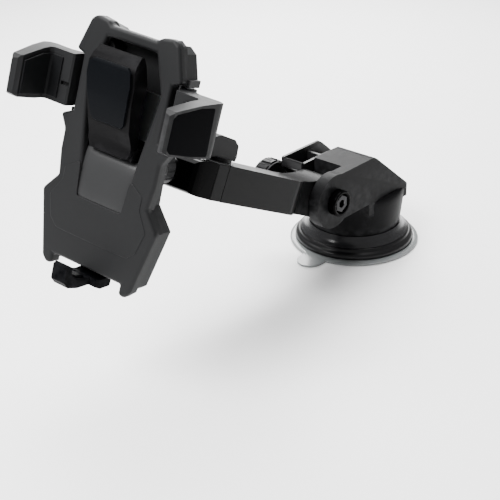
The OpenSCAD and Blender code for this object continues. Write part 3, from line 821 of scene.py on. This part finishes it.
@dataclass
class TelescopicArm:
    """The outer tube with its collar, the inner tube with its head, and their knobs.

    Attributes:
        tube_edge: rounding of the outer tube, in millimetres.
        head_edge: rounding of the head, in millimetres.
        ribs: number of ribs round the pivot knob.
        rib_size: each rib's reach, width and length, in metres.
        rib_sink: how far their centres lie inside the knob's rim, in metres.
        rib_depth: how far their middle lies behind the knob's face, in metres.
    """

    tube_edge: float = 2.0
    head_edge: float = 1.6
    ribs: int = 30
    rib_size: Point3 = (0.0012, 0.0008, 0.0050)
    rib_sink: float = 0.0003
    rib_depth: float = 0.0040

    def build(self, shop: Workshop) -> None:
        """Makes every piece of the arm.

        Args:
            shop: the workshop that finishes the pieces.
        """
        shop.finish_node("outer_arm_tube", FinishKind.ARM, self.tube_edge, 4)
        shop.finish_node("arm_collar", FinishKind.ARM, 1.0, 3)
        shop.finish_node("clamp_shoe", FinishKind.RUBBER, 0.05, 1)
        shop.finish_node("telescope_knob", FinishKind.KNOB, 0.9)
        shop.finish_node("inner_arm_tube", FinishKind.GLOSS, 0.8)
        shop.finish_node("arm_head", FinishKind.GLOSS, self.head_edge, 4)
        shop.finish_node("pivot_knob", FinishKind.KNOB, 0.5)
        low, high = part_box("pivot_knob")
        middle = Vector(joint("arm_pivot")["pos_m"])
        middle.y = high.y - self.rib_depth
        around = LocalFrame(middle, Vector((0, 0, 1)), Vector((1, 0, 0)), Vector((0, 1, 0)))
        ring = RibRing(self.ribs, (high.x - low.x) / 2 - self.rib_sink, self.rib_size)
        ring.build(shop, "pivot_knob_ribs", around, FinishKind.KNOB, "pivot_clamp")


@dataclass
class BallJoint:
    """The ball on the arm, its friction cups, the socket on the cradle and the ring nut."""

    def build(self, shop: Workshop) -> None:
        """Makes every piece of the joint.

        Args:
            shop: the workshop that finishes the pieces.
        """
        shop.finish_node("ball_stud", FinishKind.STUD, 0.2, 2)
        shop.finish_node("ball_liner_inner", FinishKind.NYLON, 0.08, 1)
        shop.finish_node("ball_liner_outer", FinishKind.NYLON, 0.08, 1)
        shop.finish_node("ball_nut", FinishKind.SHELL, 0.3, 2)
        shop.finish_node("ball_socket", FinishKind.SHELL, 0.6, 3)


@dataclass
class CradleShells:
    """The front and rear shells of the cradle with their pins and screws.

    Attributes:
        outline: right half of the front shell's outline, in millimetres.
        opening: right half of the channel's outline, in millimetres.
        panel: right half of the slightly raised panel below the channel, in millimetres.
        ramp: the tongue's slope below the trigger, as y and z, in millimetres.
        face: height of the raised face over the seam, in millimetres.
        rim: radius of the rounded rim and corners, in millimetres.
        bend: edges of the rim that turn less than this, in degrees, stay as they are.
        ramp_start: y at which the ramp is as wide as ramp_reach, in millimetres.
        ramp_reach: half of its width there, in millimetres.
        ramp_flare: how much wider each side gets for each millimetre of y.
        ramp_crown: how far its sides drop below its middle, in millimetres.
        ramp_under: z of its underside, in millimetres.
    """

    outline: tuple[Point2, ...] = (
        (12.6, 56.5), (14.5, 58.3), (21, 59.3), (24.3, 57.2), (29.5, 42), (24.8, 40.5),
        (24.8, 14.5), (31.3, 11.5), (27.6, 5), (27.6, -4.5), (26, -16.5), (33.6, -25.5),
        (26.4, -57), (23.5, -59.8), (20.3, -59), (20.3, -54),
    )
    opening: tuple[Point2, ...] = ((13.5, 51.4), (20, 34), (17, 13), (14.5, -5), (13, -22))
    panel: tuple[Point2, ...] = (
        (12.9, -22.7), (14.4, -6), (22.6, -11.5), (22.6, -17.5), (28.2, -26.5), (25.4, -37),
        (21, -41), (4, -41.2),
    )
    ramp: tuple[Point2, ...] = (
        (-22.2, 3.3), (-20.5, 3.55), (-16, 3.3), (-11, 2.8), (-6, 2.1), (-2, 1.2), (0.4, 0.3),
        (1.1, -0.6),
    )
    face: float = 3.6
    rim: float = 1.6
    bend: float = 12.0
    ramp_start: float = -22.0
    ramp_reach: float = 13.2
    ramp_flare: float = 0.078
    ramp_crown: float = 0.5
    ramp_under: float = -1.7

    def build(self, shop: Workshop) -> None:
        """Makes the shells and their fasteners.

        Args:
            shop: the workshop that finishes the pieces.
        """
        self._front(shop)
        shop.finish_node("rear_shell", FinishKind.SHELL, 0.7, 3)
        for node in ("trigger_pin", "arm_pins", "back_screws"):
            shop.finish_node(node, FinishKind.STEEL, 0.12, 2)
        shop.finish_node("arm_springs", FinishKind.STEEL, 0.05, 1, 80.0)
        for node in ("right_release", "left_release"):
            shop.finish_node(node, FinishKind.ARM, 0.4)

    def _front(self, shop: Workshop) -> None:
        """Makes the front shell: rounded rim, channel, ramp and raised panel.

        Args:
            shop: the workshop that finishes the pieces.
        """
        place = cradle_frame()
        top, bottom = self.outline[0][1], self.outline[-1][1]
        right = [(0.0, top), *self.outline, (0.0, bottom), (0.0, self.opening[-1][1]),
                 *reversed(self.opening), (0.0, self.opening[0][1])]
        plate = bmesh.new()
        corners: dict[Point2, bmesh.types.BMVert] = {}
        halves = []
        for sign in (1, -1):
            ring = [(sign * x if x else 0.0, y) for x, y in right]
            for point in ring:
                if point not in corners:
                    corners[point] = plate.verts.new((*point, 0.0))
            halves.append(plate.faces.new([corners[point] for point in ring[::sign]]))
        grown = bmesh.ops.extrude_face_region(plate, geom=halves)
        lifted = [v for v in grown["geom"] if isinstance(v, bmesh.types.BMVert)]
        bmesh.ops.translate(plate, vec=(0, 0, self.face), verts=lifted)
        bmesh.ops.recalc_face_normals(plate, faces=plate.faces)
        edges = [e for e in plate.edges if any(v.co.z > self.face / 2 for v in e.verts)
                 and len(e.link_faces) == 2 and e.calc_face_angle() > math.radians(self.bend)]
        bmesh.ops.bevel(plate, geom=edges, offset=self.rim, segments=4, profile=0.5,
                        affect="EDGES", clamp_overlap=False)
        shell = shop.piece_from("front_shell_finish", plate, place)
        LOG.info("front plate: %d faces", len(shell.data.polygons))
        shop.join(shell, self._panel(shop, place))
        shop.smooth(shell.data)
        weigh = shell.modifiers.new("weights", "WEIGHTED_NORMAL")
        weigh.keep_sharp = True
        shop.bake(shell)
        shop.dress(shell, FinishKind.SHELL, "cradle", "front_shell")
        # The tongue wears the lighter copy of the shell's plastic, with light painted where it tilts up.
        shop.dress(self._ramp(shop, place), FinishKind.RAMP, "cradle")

    def _ramp(self, shop: Workshop, place: LocalFrame) -> bpy.types.Object:
        """Makes the tongue that slopes down under the trigger's lower end.

        Args:
            shop: the workshop that finishes the pieces.
            place: the cradle's axes.

        Returns:
            The tongue, not yet dressed.
        """
        rings = []
        columns = 18
        for y, z in self.ramp:
            reach = self.ramp_reach + (y - self.ramp_start) * self.ramp_flare
            top = []
            for k in range(columns + 1):
                across = 2 * k / columns - 1
                top.append((across * reach, y, z - self.ramp_crown * abs(across) ** 5))
            rings.append(top + [(reach, y, self.ramp_under), (-reach, y, self.ramp_under)])
        return shop.piece_from("front_shell_ramp", loft(rings), place, 40)

    def _panel(self, shop: Workshop, place: LocalFrame) -> bpy.types.Object:
        """Makes the panel whose edge shows as a fine step across the lower face.

        Args:
            shop: the workshop that finishes the pieces.
            place: the cradle's axes.

        Returns:
            The panel, not yet dressed.
        """
        edge = rounded(mirrored(self.panel), 1.8)
        levels = ((3.2, 0.0), (3.75, 0.05), (3.86, 0.2), (3.9, 0.45))
        return shop.piece_from(
            "panel", loft([[(x, y, z) for x, y in inset(edge, d)] for z, d in levels]), place, 50
        )


@dataclass
class Trigger:
    """The lever that the phone presses, its rubber pad and the plate behind it."""

    def build(self, shop: Workshop) -> None:
        """Makes the trigger's pieces.

        Args:
            shop: the workshop that finishes the pieces.
        """
        shop.finish_node("trigger_lever", FinishKind.TRIGGER, 1.2, 4)
        shop.finish_node("trigger_pad", FinishKind.PAD, 0.7, 3)
        shop.finish_node("sync_plate", FinishKind.STEEL, 0.15, 2)


@dataclass
class SideArms:
    """The two clamp arms with their rubber faces.

    Attributes:
        panel: the dark panel on each arm's outer face, as y and z, in millimetres.
        foot: the outer face's x and z at its lower edge, in millimetres.
        lean: how much the outer face leans in for each millimetre of height.
    """

    panel: tuple[Point2, ...] = (
        (16.3, 2.8), (16.3, 12), (17.5, 24.8), (19.1, 26.7), (32.5, 26.7), (34.3, 24.8),
        (37.2, 12), (37.6, 4),
    )
    foot: Point2 = (49.4, 1.6)
    lean: float = 0.192

    def build(self, shop: Workshop) -> None:
        """Makes both arms.

        Args:
            shop: the workshop that finishes the pieces.
        """
        for side, sign in (("right", 1), ("left", -1)):
            shop.finish_node(f"{side}_arm", FinishKind.SHELL, 0.6, 3)
            shop.finish_node(f"{side}_arm_pad", FinishKind.GRIP, 0.35, 2)
            self._outer_panel(shop, side, sign)

    def _outer_panel(self, shop: Workshop, side: str, sign: int) -> None:
        """Makes the smooth dark panel inside the frame of an arm's outer face.

        Args:
            shop: the workshop that finishes the pieces.
            side: the arm's side, right or left.
            sign: 1 on the right and -1 on the left.
        """
        edge = rounded(self.panel, 1.2, 3)
        rings = []
        for lift, depth in ((-0.3, 0.0), (0.04, 0.0), (0.1, 0.12), (0.12, 0.4)):
            ring = []
            for y, z in inset(edge, depth):
                x = self.foot[0] - self.lean * (z - self.foot[1]) + lift
                ring.append((sign * x, y, z))
            rings.append(ring)
        panel = shop.piece_from(f"{side}_arm_panel", loft(rings), cradle_frame())
        shop.dress(panel, FinishKind.RUBBER, f"{side}_clamp")


@dataclass
class Foot:
    """The sliding hook that the phone stands on."""

    def build(self, shop: Workshop) -> None:
        """Makes the foot."""
        shop.finish_node("bottom_foot", FinishKind.RUBBER, 0.8, 3)
        shop.finish_node("foot_pad", FinishKind.RUBBER, 0.25, 2)


# ---------------------------------------------------------------- stage


@dataclass
class Studio:
    """Floor, lights and camera.

    Attributes:
        target: the point that the camera looks at, in millimetres.
        distance: the camera's distance from it, in millimetres.
        azimuth: the camera's azimuth, in degrees.
        elevation: the camera's elevation, in degrees.
        roll: the camera's roll, in degrees.
        lens: focal length on a 36 mm wide sensor, in millimetres.
        strength: the sky's strength.
        lights: each area light's name, place, power and width.
    """

    target: Point3 = (-93.1, 3.4, 26.6)
    distance: float = 608.7
    azimuth: float = -47.14
    elevation: float = 27.7
    roll: float = -1.49
    lens: float = 77.34
    strength: float = 0.7
    lights: tuple[tuple[str, Point3, float, float], ...] = (
        ("key", (-680.0, 60.0, 760.0), 16.0, 420.0),
        ("top", (60.0, 260.0, 900.0), 22.0, 700.0),
        ("rim", (420.0, 420.0, 420.0), 6.0, 360.0),
    )

    def build(self) -> None:
        """Makes the floor, the sky, the lights and the camera."""
        self._floor()
        self._sky()
        for name, place, power, width in self.lights:
            self._light(name, place, power, width)
        self._camera()

    def _floor(self) -> None:
        """Makes the pale floor that the pad stands on."""
        half, drop = 3.0, -0.0002
        work = bmesh.new()
        corners = ((-half, -half), (half, -half), (half, half), (-half, half))
        work.faces.new([work.verts.new((x, y, drop)) for x, y in corners])
        mesh = bpy.data.meshes.new("floor")
        work.to_mesh(mesh)
        work.free()
        floor = bpy.data.objects.new("floor", mesh)
        bpy.context.scene.collection.objects.link(floor)
        pale = bpy.data.materials.new("pale_floor")
        pale.use_nodes = True
        shader = pale.node_tree.nodes["Principled BSDF"]
        shader.inputs["Base Color"].default_value = (0.93, 0.93, 0.93, 1.0)
        shader.inputs["Roughness"].default_value = 0.7
        mesh.materials.append(pale)

    def _sky(self) -> None:
        """Sets an even white surrounding."""
        world = bpy.data.worlds.new("studio")
        world.use_nodes = True
        sky = world.node_tree.nodes["Background"]
        sky.inputs["Color"].default_value = (1.0, 1.0, 1.0, 1.0)
        sky.inputs["Strength"].default_value = self.strength
        bpy.context.scene.world = world

    def _light(self, name: str, place: Point3, power: float, width: float) -> None:
        """Adds an area light that looks at the target.

        Args:
            name: the light's name.
            place: where it stands, in millimetres.
            power: its power, in watts.
            width: its side, in millimetres.
        """
        lamp = bpy.data.lights.new(name, "AREA")
        lamp.energy = power
        lamp.size = width * MM
        made = bpy.data.objects.new(name, lamp)
        made.location = Vector(place) * MM
        towards = Vector(self.target) * MM - made.location
        made.rotation_euler = towards.to_track_quat("-Z", "Y").to_euler()
        bpy.context.scene.collection.objects.link(made)

    def _camera(self) -> None:
        """Adds the camera."""
        turn, lift, roll = (math.radians(a) for a in (self.azimuth, self.elevation, self.roll))
        back = Vector((math.sin(turn) * math.cos(lift), -math.cos(turn) * math.cos(lift),
                       math.sin(lift)))
        right = Vector((math.cos(turn), math.sin(turn), 0.0))
        up = back.cross(right)
        across = right * math.cos(roll) + up * math.sin(roll)
        upward = up * math.cos(roll) - right * math.sin(roll)
        data = bpy.data.cameras.new("camera")
        data.lens = self.lens
        data.sensor_width = 36.0
        data.clip_start = 0.01
        camera = bpy.data.objects.new("camera", data)
        place = (Vector(self.target) + back * self.distance) * MM
        axes = Matrix((across, upward, back)).transposed().to_4x4()
        camera.matrix_world = Matrix.Translation(place) @ axes
        bpy.context.scene.collection.objects.link(camera)
        bpy.context.scene.camera = camera


def main() -> None:
    """Builds the stage and then each sub-assembly in order."""
    logging.basicConfig(level=logging.INFO, format="%(message)s")
    Studio().build()
    shop = Workshop()
    for assembly in (SuctionBase(), LockLever(), TelescopicArm(), BallJoint(), CradleShells(),
                     Trigger(), SideArms(), Foot()):
        LOG.info("building %s", type(assembly).__name__)
        assembly.build(shop)


if __name__ == "__main__":
    main()
